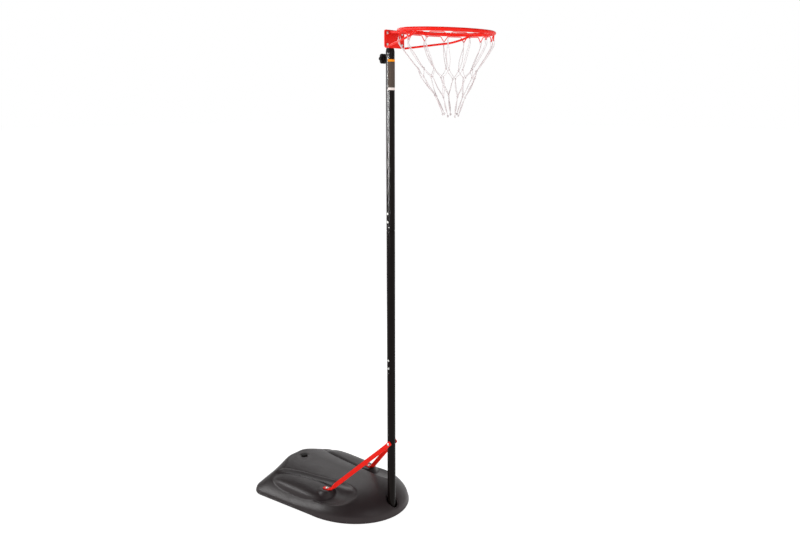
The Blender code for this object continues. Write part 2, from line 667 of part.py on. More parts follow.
def build_struts():
    for side, label in ((-1, "left"), (1, "right")):
        bm, mirror = strut_mesh(side)
        strut = finish(f"strut_{label}", bm, "red_paint", mirror, smooth=False)
        foot = Vector((STRUT_BOLT.x, side * -STRUT_BOLT.y, PAD_Z))
        drill(strut, 0.0036, (0, 0, 1), foot, 0.030, "toe_hole")
        drill(strut, 0.0042, (0, 1, 0), Vector((0, side * (POLE_R + 0.002), STRUT_BOLT_Z)), 0.014, "top_hole")
        washer_z = PAD_Z + 0.0023 + STRUT_THICK / 2 + GAP
        washer = lathe([(0.0075, 0.0), (0.0075, 0.0012), (0.0033, 0.0012), (0.0033, 0.0)], 16, hollow=True)
        finish(f"strut_washer_{label}", washer, "zinc", Matrix.Translation((foot.x, foot.y, washer_z)))
        add_bolt(f"strut_screw_{label}", Vector((foot.x, foot.y, washer_z + 0.0012 + GAP)), (0, 0, 1), 0.026)
    outer = POLE_R + STRUT_THICK + 2 * GAP
    near = Vector((0, -outer - GAP, STRUT_BOLT_Z))
    add_bolt("strut_through_bolt", near, (0, -1, 0), 2 * outer + 0.0075, 0.0035, 0.0066)
    add_nut("strut_through_nut", Vector((0, outer + GAP, STRUT_BOLT_Z)), (0, 1, 0), 0.0037, 0.0066, 0.0056)


# ---------------------------------------------------------------- rim

def rim_matrix():
    """From ring coordinates (its centre, its plane as XY) to the stand's."""
    return (Matrix.Translation((PLATE_FRONT_X, 0, RING_AT_PLATE_Z)) @ Matrix.Rotation(RING_DROOP, 4, "Y")
            @ Matrix.Translation((RING_OUT, 0, 0)))


def rounded_rectangle(half_w, half_h, radius, steps=3):
    points = []
    for cx, cy, start in ((1, -1, -90), (1, 1, 0), (-1, 1, 90), (-1, -1, 180)):
        for i in range(steps + 1):
            turn = math.radians(start + 90 * i / steps)
            points.append((cx * (half_w - radius) + radius * math.cos(turn),
                           cy * (half_h - radius) + radius * math.sin(turn)))
    return points


def build_plate():
    half_h = (PLATE_TOP_Z - PLATE_BOTTOM_Z) / 2
    middle = (PLATE_TOP_Z + PLATE_BOTTOM_Z) / 2
    upright = Matrix.Translation((PLATE_FRONT_X, 0, middle)) @ Matrix(
        ((0, 0, 1, 0), (1, 0, 0, 0), (0, 1, 0, 0), (0, 0, 0, 1)))
    plate = finish("rim_plate", prism(rounded_rectangle(PLATE_HALF_WIDTH, half_h, 0.009), -PLATE_THICK, 0.0),
                   "red_paint", upright)
    cradle = prism([(-0.0150, -0.029), (0.0150, -0.029), (0.0150, 0.029), (-0.0150, 0.029)], -0.0170, -0.0020)
    boolean(plate, cutter(finish("cradle", cradle, "red_paint", upright)), "UNION")
    bore = lathe([(INNER_R + GAP, -0.08), (INNER_R + GAP, 0.08)], 24)
    boolean(plate, cutter(finish("cradle_bore", bore, "red_paint", Matrix.Translation((0, 0, middle)))))
    back = PLATE_FRONT_X - PLATE_THICK
    for level, z in zip(("lower", "upper"), PLATE_BOLT_ZS):
        saddle_z = z + (0.004 if level == "lower" else -0.004)
        lift = Matrix.Translation((0, 0, saddle_z))
        strap = finish(f"saddle_{level}", saddle_mesh(back - GAP), "red_paint", lift, smooth=False)
        for side, label in ((-1, "left"), (1, "right")):
            spot = Vector((PLATE_FRONT_X, side * PLATE_BOLT_Y, z))
            for piece in (plate, strap):
                drill(piece, 0.0033, (1, 0, 0), spot, 0.03, "plate_hole")
            head_spot = spot + Vector((GAP, 0, 0))
            add_bolt(f"plate_bolt_{level}_{label}", head_spot, (1, 0, 0), 0.0160, 0.0030, 0.0060)
            nut_x = back - GAP - 0.003 - GAP
            add_nut(f"plate_nut_{level}_{label}", Vector((nut_x, spot.y, z)), (-1, 0, 0))


def saddle_mesh(front_x):
    """Omega strap: ears against the plate, bent round the back of the inner tube."""
    thick = 0.003
    line = [Vector((front_x - thick / 2, -0.060, 0)), Vector((front_x - thick / 2, -0.026, 0))]
    radius = INNER_R + GAP + thick / 2
    for i in range(9):
        turn = math.radians(-90 - 180 * i / 8)
        line.append(Vector((radius * math.cos(turn), radius * math.sin(turn), 0)))
    line += [Vector((p.x, -p.y, 0)) for p in (line[1], line[0])]
    left, right = [], []
    for i, point in enumerate(line):
        along = (line[min(i + 1, len(line) - 1)] - line[max(i - 1, 0)]).normalized()
        normal = Vector((-along.y, along.x, 0)) * (thick / 2)
        left.append(point + normal)
        right.append(point - normal)
    outline = [(p.x, p.y) for p in right] + [(p.x, p.y) for p in reversed(left)]
    bm = prism(outline, -0.009, 0.009)
    bmesh.ops.recalc_face_normals(bm, faces=bm.faces)
    return bm


def build_rim():
    place = rim_matrix()
    points = [Vector((RING_R * math.cos(math.tau * i / 56), RING_R * math.sin(math.tau * i / 56), 0))
              for i in range(56)]
    finish("ring", sweep(points, RING_ROD, 10, closed=True), "red_paint", place)
    start = -RING_OUT + 0.0012
    end = -math.sqrt((RING_R + RING_ROD) ** 2 - 0.030 ** 2) - 0.0008
    half = (RING_R + RING_ROD + 0.0008)
    nose = []
    for i in range(7):
        turn = math.asin(0.030 / half) * (1 - i / 3)
        nose.append((-half * math.cos(turn), half * math.sin(turn)))
    outline = [(start, 0.041), (start, -0.041), (end, -0.030)] + nose[::-1][1:-1] + [(end, 0.030)]
    neck = prism(outline, -0.0060, 0.0020)
    bmesh.ops.recalc_face_normals(neck, faces=neck.faces)
    finish("rim_neck", neck, "red_paint", place, smooth=False)
    for side, label in ((-1, "left"), (1, "right")):
        inner = RING_R - BRACE_OFFSET[0]
        ring_spot = place @ Vector((inner * math.cos(BRACE_END_ANGLE),
                                    side * inner * math.sin(BRACE_END_ANGLE), -BRACE_OFFSET[1]))
        foot = Vector((PLATE_FRONT_X + BRACE_ROD + 0.0006, side * 0.0615, PLATE_BOTTOM_Z + 0.0015))
        bend = Vector((BRACE_BEND[0], side * BRACE_BEND[1], BRACE_BEND[2]))
        before = foot.lerp(bend, 0.82)
        line = [foot, foot.lerp(bend, 0.3), foot.lerp(bend, 0.6), before, bend,
                bend.lerp(ring_spot, 0.55) + Vector((0.004, 0.0, -0.002)), ring_spot]
        finish(f"brace_{label}", sweep(smooth_path(line, 4), BRACE_ROD, 8), "red_paint")


def hook_path():
    """One closed wire under the ring that dips into a V at each hook."""
    under = -RING_ROD - HOOK_WIRE - 0.0004
    half = HOOK_HALF_WIDTH / RING_R
    points = []
    for i in range(HOOKS):
        middle = math.tau * i / HOOKS
        for offset, z in ((-half * 1.25, under), (-half * 0.92, under - 0.0015),
                          (-half * 0.16, -HOOK_TIP + 0.0022), (0.0, -HOOK_TIP),
                          (half * 0.16, -HOOK_TIP + 0.0022), (half * 0.92, under - 0.0015),
                          (half * 1.25, under)):
            turn = middle + offset
            points.append(Vector((RING_R * math.cos(turn), RING_R * math.sin(turn), z)))
    return points


def build_hooks_and_net():
    place = rim_matrix()
    finish("net_wire", sweep(hook_path(), HOOK_WIRE, 6, closed=True), "red_paint", place)
    finish("net", net_mesh(), "net_cord", place)


def net_mesh():
    """The net's outer shape, an open tapering skirt one cord thick."""
    bm = bmesh.new()
    levels = [(row, NET_CORD / 2) for row in reversed(NET_ROWS)] + [(row, -NET_CORD / 2) for row in NET_ROWS]
    rings = []
    for (depth, radius, shift_x, shift_y), side in levels:
        ring = []
        for i in range(2 * HOOKS):
            turn = math.tau * i / (2 * HOOKS)
            ring.append(bm.verts.new(((radius + side) * math.cos(turn) + shift_x,
                                      (radius + side) * math.sin(turn) + shift_y, -depth)))
        rings.append(ring)
    bridge_rings(bm, rings, closed=True)
    return bm


def main():
    clear_scene()
    build_base()
    build_filler()
    build_pole()
    build_button()
    build_head_tube()
    build_knob()
    build_label()
    build_struts()
    build_plate()
    build_rim()
    build_hooks_and_net()


main()
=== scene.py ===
"""Looks of the portable netball goal stand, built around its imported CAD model.

Metres, +Z up. The pole's axis is the Z axis, the ring is on its +X side and the floor is z = 0.
The parts, in order: sizes, helpers, camera and studio, the net's cords and knots, the moulded
base, and the materials.
"""

import math
import random

import bmesh
import bpy
from mathutils import Matrix, Vector


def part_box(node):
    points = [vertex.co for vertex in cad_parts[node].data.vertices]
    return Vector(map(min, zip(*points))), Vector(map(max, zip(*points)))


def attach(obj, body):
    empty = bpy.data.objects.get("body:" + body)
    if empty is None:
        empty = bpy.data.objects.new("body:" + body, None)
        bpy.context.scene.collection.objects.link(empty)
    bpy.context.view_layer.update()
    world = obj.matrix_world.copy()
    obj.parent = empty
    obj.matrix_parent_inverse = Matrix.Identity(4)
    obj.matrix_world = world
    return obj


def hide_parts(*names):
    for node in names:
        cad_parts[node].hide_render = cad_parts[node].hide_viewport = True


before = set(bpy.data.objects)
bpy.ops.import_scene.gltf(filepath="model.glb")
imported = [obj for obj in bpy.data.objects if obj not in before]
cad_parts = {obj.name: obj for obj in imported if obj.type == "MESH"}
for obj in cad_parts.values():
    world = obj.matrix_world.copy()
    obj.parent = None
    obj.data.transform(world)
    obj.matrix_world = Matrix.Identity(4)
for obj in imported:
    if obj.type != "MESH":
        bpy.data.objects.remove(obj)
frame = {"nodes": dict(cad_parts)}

# ------------------------------------------------------------------ sizes, as in the CAD model
BASE_BACK_X = -0.724
BASE_FRONT_X = 0.042
BASE_WIDEST_FRONT_X = -0.290
BASE_HALF_WIDTH = 0.280
BASE_FLARE = math.radians(3.7)
BASE_CORNER = 0.085
BASE_CENTRE_X = -0.360
CROWN_HEIGHT = 0.1195
SHOULDER = 0.260
SHOULDER_BACK = 0.050
SHOULDER_CORNER = 0.115
FOOT_ROUND = 0.010
OVAL_TURN = math.radians(5.0)
OVAL_SQUARENESS = 3.0
DISH_CENTRE = (-0.3950, 0.1810)
DISH_SIZE = (0.2970, 0.0790)
DISH_TAPER = 0.20
DISH_MIDDLE_Z = 0.0630
DISH_FALL = 0.0175
BULGE_CENTRE = (-0.4500, 0.1880)
BULGE_SIZE = (0.1920, 0.0610)
PAD_SPOT = (-0.2910, 0.1600)
PAD_RADIUS = 0.0240
PAD_Z = 0.0940
FILLER_X = -0.622
FILLER_RADIUS = 0.0125
FILLER_SEAT_RADIUS = 0.019
FILLER_SEAT_Z = 0.1165
WELL_RADIUS = 0.0290
SOCKET_RADIUS = 0.0206
SOCKET_TOP = 0.024

PLATE_FRONT_X = 0.0258
RING_AT_PLATE_Z = 2.3045
RING_DROOP = math.radians(2.8)
RING_OUT = 0.2790
RING_R = 0.1980
HOOKS = 14
HOOK_TIP = 0.0315
HOOK_WIRE = 0.0019
CORD = 0.0024
LOOP_RADIUS = 2.05 * CORD          # of the cord's bend over a hook
KNOT_POINTS = 27
KNOT_SIZES = {"first": 0.00115, "second": 0.00115, "third": 0.00135, "end": 0.00150}
NET_ROWS = {                      # depth under the ring, radius, shift towards +X and +Y
    "first": (0.150, 0.128, 0.012, 0.006),
    "second": (0.186, 0.112, 0.016, 0.008),
    "third": (0.262, 0.068, 0.026, 0.012),
    "end": (0.338, 0.034, 0.034, 0.016),
}

# ------------------------------------------------------------------ the photograph's view
CAMERA_PLACE = Vector((2.2838, -2.7228, 2.0051))
CAMERA_HEADING = math.radians(39.303)
CAMERA_TILT = math.radians(78.073)
CAMERA_ROLL = math.radians(-0.04)
CAMERA_LENS = 35.0
CAMERA_SENSOR = 36.0

# ------------------------------------------------------------------ the studio
SKY_WHITE_TO = 0.26               # sines of the heights between which the sky fades
SKY_DIM_FROM = 0.56
SKY_DIM = 0.10
FLOOR_REACH = 60.0
PAPER_GREY = 0.56
PAPER_GLOW = 0.87


# ------------------------------------------------------------------ helpers
def smoothstep(t):
    t = min(max(t, 0.0), 1.0)
    return t * t * (3 - 2 * t)


def add_mesh(name, bm, smooth_angle=None):
    mesh = bpy.data.meshes.new(name)
    bm.normal_update()
    bm.to_mesh(mesh)
    bm.free()
    piece = bpy.data.objects.new(name, mesh)
    bpy.context.scene.collection.objects.link(piece)
    mesh.shade_smooth()
    if smooth_angle is not None:
        mesh.set_sharp_from_angle(angle=smooth_angle)
    return piece


def tube(bm, points, radius, sides, closed=False):
    """A tube along points, added to bm, with flat end caps if it is open. Its frame doesn't twist."""
    count = len(points)
    normal = None
    rings = []
    for i, point in enumerate(points):
        ahead = points[(i + 1) % count] if closed or i < count - 1 else point
        behind = points[i - 1] if closed or i > 0 else point
        along = (ahead - behind).normalized()
        if normal is None:
            normal = along.orthogonal().normalized()
        normal = (normal - along * normal.dot(along)).normalized()
        across = along.cross(normal)
        rings.append([bm.verts.new(point + radius * (normal * math.cos(math.tau * k / sides)
                                                     + across * math.sin(math.tau * k / sides)))
                      for k in range(sides)])
    pairs = list(zip(rings, rings[1:]))
    if closed:
        pairs.append((rings[-1], rings[0]))
    for first, second in pairs:
        offset = 0
        if closed and second is rings[0]:
            offset = min(range(sides), key=lambda k: (second[k].co - first[0].co).length)
        for k in range(sides):
            bm.faces.new((first[k], first[(k + 1) % sides],
                          second[(k + 1 + offset) % sides], second[(k + offset) % sides]))
    if not closed:
        bm.faces.new(reversed(rings[0]))
        bm.faces.new(rings[-1])


def smooth_path(corners, steps):
    """A Catmull-Rom curve through the corners."""
    padded = [2 * corners[0] - corners[1], *corners, 2 * corners[-1] - corners[-2]]
    points = []
    for i in range(1, len(padded) - 2):
        a, b, c, d = padded[i - 1:i + 3]
        for k in range(steps):
            t = k / steps
            points.append(0.5 * (2 * b + (c - a) * t + (2 * a - 5 * b + 4 * c - d) * t ** 2
                                 + (3 * b - a - 3 * c + d) * t ** 3))
    points.append(corners[-1].copy())
    return points


# ------------------------------------------------------------------ camera and studio
def make_camera():
    camera = bpy.data.objects.new("camera", bpy.data.cameras.new("camera"))
    camera.data.lens = CAMERA_LENS
    camera.data.sensor_width = CAMERA_SENSOR
    camera.matrix_world = (Matrix.Translation(CAMERA_PLACE) @ Matrix.Rotation(CAMERA_HEADING, 4, "Z")
                           @ Matrix.Rotation(CAMERA_TILT, 4, "X") @ Matrix.Rotation(CAMERA_ROLL, 4, "Z"))
    bpy.context.scene.collection.objects.link(camera)
    bpy.context.scene.camera = camera


def add_softbox(name, place, target, size, power, diffuse=True, spread=math.pi, only_on=()):
    """A rectangular lamp that the camera doesn't see. It lights only_on, if that is given."""
    light = bpy.data.lights.new(name, "AREA")
    light.shape = "RECTANGLE"
    light.size, light.size_y = size
    light.energy = power
    light.spread = spread
    softbox = bpy.data.objects.new(name, light)
    softbox.location = place
    softbox.rotation_euler = (Vector(target) - Vector(place)).to_track_quat("-Z", "Y").to_euler()
    softbox.visible_camera = False
    softbox.visible_diffuse = diffuse
    bpy.context.scene.collection.objects.link(softbox)
    if only_on:
        lit = bpy.data.collections.new(f"{name}_lights")
        for piece in only_on:
            lit.objects.link(piece)
        softbox.light_linking.receiver_collection = lit


def make_world():
    """White round the horizon, as a backdrop, and dim overhead, so that the softboxes model the shape."""
    world = bpy.data.worlds.new("studio")
    world.use_nodes = True
    nodes, links = world.node_tree.nodes, world.node_tree.links
    direction = nodes.new("ShaderNodeTexCoord").outputs["Generated"]
    split = nodes.new("ShaderNodeSeparateXYZ")
    links.new(direction, split.inputs[0])
    band = nodes.new("ShaderNodeMapRange")
    for socket, number in zip(band.inputs[1:5], (SKY_WHITE_TO, SKY_DIM_FROM, 1.0, SKY_DIM)):
        socket.default_value = number
    links.new(split.outputs["Z"], band.inputs[0])
    links.new(band.outputs[0], nodes["Background"].inputs["Strength"])
    nodes["Background"].inputs["Color"].default_value = (1, 1, 1, 1)
    bpy.context.scene.world = world


def make_studio():
    make_world()
    bpy.context.scene.view_settings.view_transform = "Standard"
    bm = bmesh.new()
    bmesh.ops.create_grid(bm, x_segments=2, y_segments=2, size=FLOOR_REACH)
    floor = add_mesh("studio_floor", bm)
    paper = bpy.data.materials.new("studio_paper")
    paper.use_nodes = True
    surface = paper.node_tree.nodes["Principled BSDF"]
    surface.inputs["Base Color"].default_value = (PAPER_GREY, PAPER_GREY, PAPER_GREY, 1)
    surface.inputs["Roughness"].default_value = 1.0
    surface.inputs["Specular IOR Level"].default_value = 0.0
    surface.inputs["Emission Color"].default_value = (1, 1, 1, 1)
    surface.inputs["Emission Strength"].default_value = PAPER_GLOW
    floor.data.materials.append(paper)


def light_stand(nodes, net):
    """One softbox for the tubes' stripe, one for all that stands above the base, and three for all."""
    tubes = [nodes[name] for name in ("middle_pole", "upper_pole", "inner_tube")]
    add_softbox("stripe", (-0.200, -0.980, 1.95), (0, 0, 1.95), (0.15, 0.85), 120, diffuse=False,
                spread=math.radians(60), only_on=tubes)
    add_softbox("key", (-0.9, -2.2, 2.6), (-0.1, 0, 1.2), (1.20, 1.20), 42, only_on=[*nodes.values(), *net])
    add_softbox("sheen", (-2.50, -1.70, 2.00), (-0.4, 0, 0.1), (1.00, 0.70), 50, diffuse=False)
    add_softbox("over", (-2.4, 1.9, 3.0), (-0.3, 0, 0.4), (2.2, 2.2), 38)
    add_softbox("fill", (2.9, -1.0, 3.2), (0.1, 0, 1.6), (1.8, 1.8), 28)


# ------------------------------------------------------------------ the net
def rim_matrix():
    """From ring coordinates (its centre, its plane as XY) to the stand's."""
    return (Matrix.Translation((PLATE_FRONT_X, 0, RING_AT_PLATE_Z)) @ Matrix.Rotation(RING_DROOP, 4, "Y")
            @ Matrix.Translation((RING_OUT, 0, 0)))


def net_point(row, turn, dice):
    depth, radius, shift_x, shift_y = NET_ROWS[row]
    radius += dice.uniform(-0.004, 0.004)
    turn += dice.uniform(-0.03, 0.03)
    return Vector((radius * math.cos(turn) + shift_x, radius * math.sin(turn) + shift_y,
                   -depth + dice.uniform(-0.005, 0.005)))


def add_knot(name, spot, size, dice, place):
    """A pulled-tight overhand knot: a trefoil of cord about three cords across."""
    tumble = (Matrix.Rotation(dice.uniform(0, math.tau), 3, "Z")
              @ Matrix.Rotation(dice.uniform(0.9, 1.6), 3, "X"))
    points = []
    for k in range(KNOT_POINTS):
        t = math.tau * k / KNOT_POINTS
        loop = Vector((math.sin(t) + 2 * math.sin(2 * t), math.cos(t) - 2 * math.cos(2 * t),
                       -1.3 * math.sin(3 * t)))
        points.append(spot + tumble @ loop * size)
    bm = bmesh.new()
    tube(bm, points, CORD * 0.55, 6, closed=True)
    bm.transform(place)
    return add_mesh(name, bm)


def add_net_cord(name, points):
    bm = bmesh.new()
    tube(bm, points, CORD / 2, 8)
    return add_mesh(name, bm)


def over_the_wire(tip, radial, side):
    """The start of a cord: a loose loop that rests on the hook's wire and comes down one side of it."""
    middle = tip + Vector((0, 0, HOOK_WIRE + CORD / 2 + 0.0004 - LOOP_RADIUS))
    return [middle + LOOP_RADIUS * (radial * side * math.sin(turn) + Vector((0, 0, math.cos(turn))))
            for turn in (math.radians(a) for a in (4, 28, 52, 76, 96))]


def make_net():
    """A cord goes over each hook and hangs as two. The two part at a knot, join their neighbours
    at the next, and gather in fours at the third, where each four runs down to a tied end."""
    dice = random.Random(7)
    place = rim_matrix()
    pitch = math.tau / HOOKS
    spots = {
        "first": [net_point("first", pitch * i, dice) for i in range(HOOKS)],
        "second": [net_point("second", pitch * (i + 0.5), dice) for i in range(HOOKS)],
        "third": [net_point("third", pitch * (i + 1), dice) for i in range(0, HOOKS, 2)],
        "end": [net_point("end", pitch * (i + 1), dice) for i in range(0, HOOKS, 2)],
    }
    knots = {row: [add_knot(f"net_knot_{row}_{i + 1:02d}", spot, KNOT_SIZES[row], dice, place)
                   for i, spot in enumerate(row_spots)] for row, row_spots in spots.items()}
    cords = []
    for i in range(HOOKS):
        radial = Vector((math.cos(pitch * i), math.sin(pitch * i), 0))
        tangent = Vector((-radial.y, radial.x, 0))
        tip = RING_R * radial - Vector((0, 0, HOOK_TIP))
        for side in (-1, 1):
            lower = i if side > 0 else (i - 1) % HOOKS
            first, second = spots["first"][i], spots["second"][lower]
            third, end = spots["third"][lower // 2], spots["end"][lower // 2]
            aside = tangent * side
            start = over_the_wire(tip, radial, side)
            drop = tip + Vector((0, 0, -0.0230)) + radial * side * 0.0022
            drop += aside * dice.uniform(0.0010, 0.0020)
            bow = dice.uniform(0.0015, 0.0070)
            sway = Vector((dice.uniform(-0.003, 0.003), dice.uniform(-0.003, 0.003), -0.003))
            corners = [
                *start, drop,
                drop.lerp(first, 0.50) + aside * bow - Vector((0, 0, 0.004)),
                drop.lerp(first, 0.84) + aside * bow * 0.5 - Vector((0, 0, 0.003)),
                first + aside * 0.0009,
                first.lerp(second, 0.5) - Vector((0, 0, 0.0025)),
                second - aside * 0.0009,
                second.lerp(third, 0.5) + sway + aside * 0.002,
                third + aside * 0.0009,
                third.lerp(end, 0.5) + 0.6 * sway - aside * 0.0025,
                end + aside * 0.0009,
            ]
            points = [place @ point for point in smooth_path(corners, 4)]
            cord = add_net_cord(f"net_cord_{2 * i + (side > 0) + 1:02d}", points)
            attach(cord, "head")
            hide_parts("net")
            cords.append(cord)
    all_knots = [knot for row in knots.values() for knot in row]
    for knot in all_knots:
        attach(knot, "head")
    return cords + all_knots


# ------------------------------------------------------------------ the moulded base
def base_outline(turn):
    """Where a ray from the base's middle meets its outline, found by halving."""
    ray = Vector((math.cos(turn), math.sin(turn)))
    near, far = 0.0, 0.8
    for _ in range(40):
        reach = (near + far) / 2
        _, _, nearest = edge_distances(BASE_CENTRE_X + reach * ray.x, reach * ray.y)
        if nearest > 0:
            near = reach
        else:
            far = reach
    return ray * near


def edge_distances(x, y):
    """How far in a point is from the sides and front, from the back, and from the outline."""
    side = abs(y)
    back = x - BASE_BACK_X
    if x > BASE_WIDEST_FRONT_X:
        reach = BASE_FRONT_X - BASE_WIDEST_FRONT_X
        u = (x - BASE_WIDEST_FRONT_X) / reach
        v = side / BASE_HALF_WIDTH
        out = math.hypot(u, v)
        slope = math.hypot(u / reach, v / BASE_HALF_WIDTH)
        flank = (1 - out) * out / slope if slope > 1e-6 else BASE_HALF_WIDTH
        return flank, back, flank
    flank = BASE_HALF_WIDTH + (BASE_WIDEST_FRONT_X - x) * math.tan(BASE_FLARE) - side
    over_x = BASE_CORNER - back
    over_y = BASE_CORNER - flank
    nearest = min(flank, back)
    if over_x > 0 and over_y > 0:
        nearest = BASE_CORNER - math.hypot(over_x, over_y)
    return flank, back, nearest


def rounded(edge, shoulder, power=2.0):
    """How high a rounded shoulder has risen, 0 to 1. A power under 2 makes it lean in more."""
    inward = min(max(edge / shoulder, 0.0), 1.0)
    return max(1 - (1 - inward) ** power, 0.0) ** (1 / power)


def oval_reach(x, y, centre, size):
    """How far out a point lies in a dish or bulge: 0 in its middle, 1 on its edge."""
    dx = x - centre[0]
    dy = abs(y) - centre[1]
    along = (dx * math.cos(OVAL_TURN) - dy * math.sin(OVAL_TURN)) / size[0]
    taper = max(1 + DISH_TAPER * along, 0.3)
    across = (dx * math.sin(OVAL_TURN) + dy * math.cos(OVAL_TURN)) / (size[1] * taper)
    return (abs(along) ** OVAL_SQUARENESS + abs(across) ** OVAL_SQUARENESS) ** (1 / OVAL_SQUARENESS)


def profile(rows, reach):
    """Height at a reach, on straight lines between rows of (reach, height) and on past the last."""
    if reach <= rows[0][0]:
        return rows[0][1]
    for (near, low), (far, high) in zip(rows, rows[1:]):
        if reach <= far:
            return low + (high - low) * (reach - near) / (far - near)
    return rows[-1][1] + (reach - rows[-1][0]) * (rows[-1][1] - rows[-2][1]) / (rows[-1][0] - rows[-2][0])


def soft_min(a, b, width):
    mix = min(max(0.5 + (b - a) / (2 * width), 0.0), 1.0)
    return b + (a - b) * mix - width * mix * (1 - mix)


DISH_WALL = ((0.45, 0.0), (0.56, 0.0006), (0.66, 0.0022), (0.75, 0.0054), (0.82, 0.0092), (0.88, 0.0136),
             (0.93, 0.0186), (0.965, 0.0234), (1.00, 0.0305), (1.03, 0.0620))
BULGE_CROWN = ((0.0, 0.0333), (0.20, 0.0328), (0.34, 0.0317), (0.46, 0.0303), (0.58, 0.0282), (0.70, 0.0252),
               (0.79, 0.0218), (0.87, 0.0174), (0.93, 0.0122), (0.97, 0.0070), (1.0, 0.0), (1.02, -0.012))


def base_height(x, y):
    """The tank's top: a crown with two dishes sunk in it and a bulge in each dish."""
    flank, back, nearest = edge_distances(x, y)
    shoulder_back = SHOULDER_BACK + (SHOULDER_CORNER - SHOULDER_BACK) * smoothstep((abs(y) - 0.03) / 0.15)
    lean = 1.5 + 0.5 * smoothstep((x + 0.45) / 0.30)
    z = CROWN_HEIGHT * rounded(flank, SHOULDER, lean) * rounded(back, shoulder_back)
    z *= rounded(nearest, FOOT_ROUND)
    floor = DISH_MIDDLE_Z - DISH_FALL * (abs(y) - DISH_CENTRE[1]) / DISH_SIZE[1]
    dish = oval_reach(x, y, DISH_CENTRE, DISH_SIZE)
    if dish < 1.15:
        z = soft_min(z, floor + profile(DISH_WALL, dish), 0.0055)
    bulge = oval_reach(x, y, BULGE_CENTRE, BULGE_SIZE)
    if bulge < 1.15:
        z = -soft_min(-z, -floor - profile(BULGE_CROWN, bulge), 0.0080)
    pad = math.hypot(x - PAD_SPOT[0], abs(y) - PAD_SPOT[1])
    z = PAD_Z + (z - PAD_Z) * smoothstep((pad - PAD_RADIUS - 0.0005) / 0.026)
    seat = math.hypot(x - FILLER_X, y)
    z = FILLER_SEAT_Z + (z - FILLER_SEAT_Z) * smoothstep((seat - FILLER_SEAT_RADIUS - 0.001) / 0.010)
    mouth = math.hypot(x, y) - WELL_RADIUS
    if 0 <= mouth < 0.007:
        z -= 0.0045 * (1 - mouth / 0.007) ** 2
    return z


def cylinder_cutter(name, x, y, rows, sides=56):
    """A closed turned body, rows of (radius, height), used to bore a hole."""
    bm = bmesh.new()
    turns = [math.tau * k / sides for k in range(sides)]
    rings = [[bm.verts.new((x + r * math.cos(turn), y + r * math.sin(turn), z)) for turn in turns]
             for r, z in rows]
    for low, high in zip(rings, rings[1:]):
        for k in range(sides):
            bm.faces.new((low[k], low[(k + 1) % sides], high[(k + 1) % sides], high[k]))
    bm.faces.new(reversed(rings[0]))
    bm.faces.new(rings[-1])
    return add_mesh(name, bm)


def bore(piece, cutter):
    cut = piece.modifiers.new("bore", "BOOLEAN")
    cut.operation = "DIFFERENCE"
    cut.solver = "EXACT"
    cut.object = cutter
    bpy.context.view_layer.update()
    holed = bpy.data.meshes.new_from_object(piece.evaluated_get(bpy.context.evaluated_depsgraph_get()))
    piece.modifiers.remove(cut)
    piece.data = holed
    bpy.data.objects.remove(cutter)


def make_base(turns=384, steps=116):
    bm = bmesh.new()
    reaches = [base_outline(math.tau * i / turns) for i in range(turns)]
    rings = []
    for shrink, z in ((0.990, 0.0), (0.9975, 0.0008), (1.0, 0.0035)):
        rings.append([bm.verts.new((BASE_CENTRE_X + shrink * r.x, shrink * r.y, z)) for r in reaches])
    for step in range(1, steps):
        along = 1 - (step / steps) ** 1.3
        ring = []
        for reach in reaches:
            x = BASE_CENTRE_X + along * reach.x
            y = along * reach.y
            ring.append(bm.verts.new((x, y, max(base_height(x, y), 0.0060))))
        rings.append(ring)
    for low, high in zip(rings, rings[1:]):
        for i in range(turns):
            bm.faces.new((low[i], low[(i + 1) % turns], high[(i + 1) % turns], high[i]))
    middle = bm.verts.new((BASE_CENTRE_X, 0, base_height(BASE_CENTRE_X, 0)))
    for i in range(turns):
        bm.faces.new((rings[-1][i], rings[-1][(i + 1) % turns], middle))
    bm.faces.new(reversed(rings[0]))
    shell = add_mesh("base_shell", bm)
    bore(shell, cylinder_cutter("well", 0, 0, [
        (SOCKET_RADIUS, 0.007), (SOCKET_RADIUS, SOCKET_TOP), (WELL_RADIUS - 0.001, SOCKET_TOP + 0.004),
        (WELL_RADIUS, SOCKET_TOP + 0.006), (WELL_RADIUS, 0.2)]))
    bore(shell, cylinder_cutter("filler", FILLER_X, 0, [(FILLER_RADIUS, 0.040), (FILLER_RADIUS, 0.2)]))
    for side in (-1, 1):
        bore(shell, cylinder_cutter("screw_hole", PAD_SPOT[0], side * PAD_SPOT[1],
                                    [(0.0033, 0.062), (0.0033, 0.2)], 16))
    shell.data.shade_smooth()
    shell.data.set_sharp_from_angle(angle=math.radians(50))
    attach(shell, "stand")
    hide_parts("base_tank")
    return shell


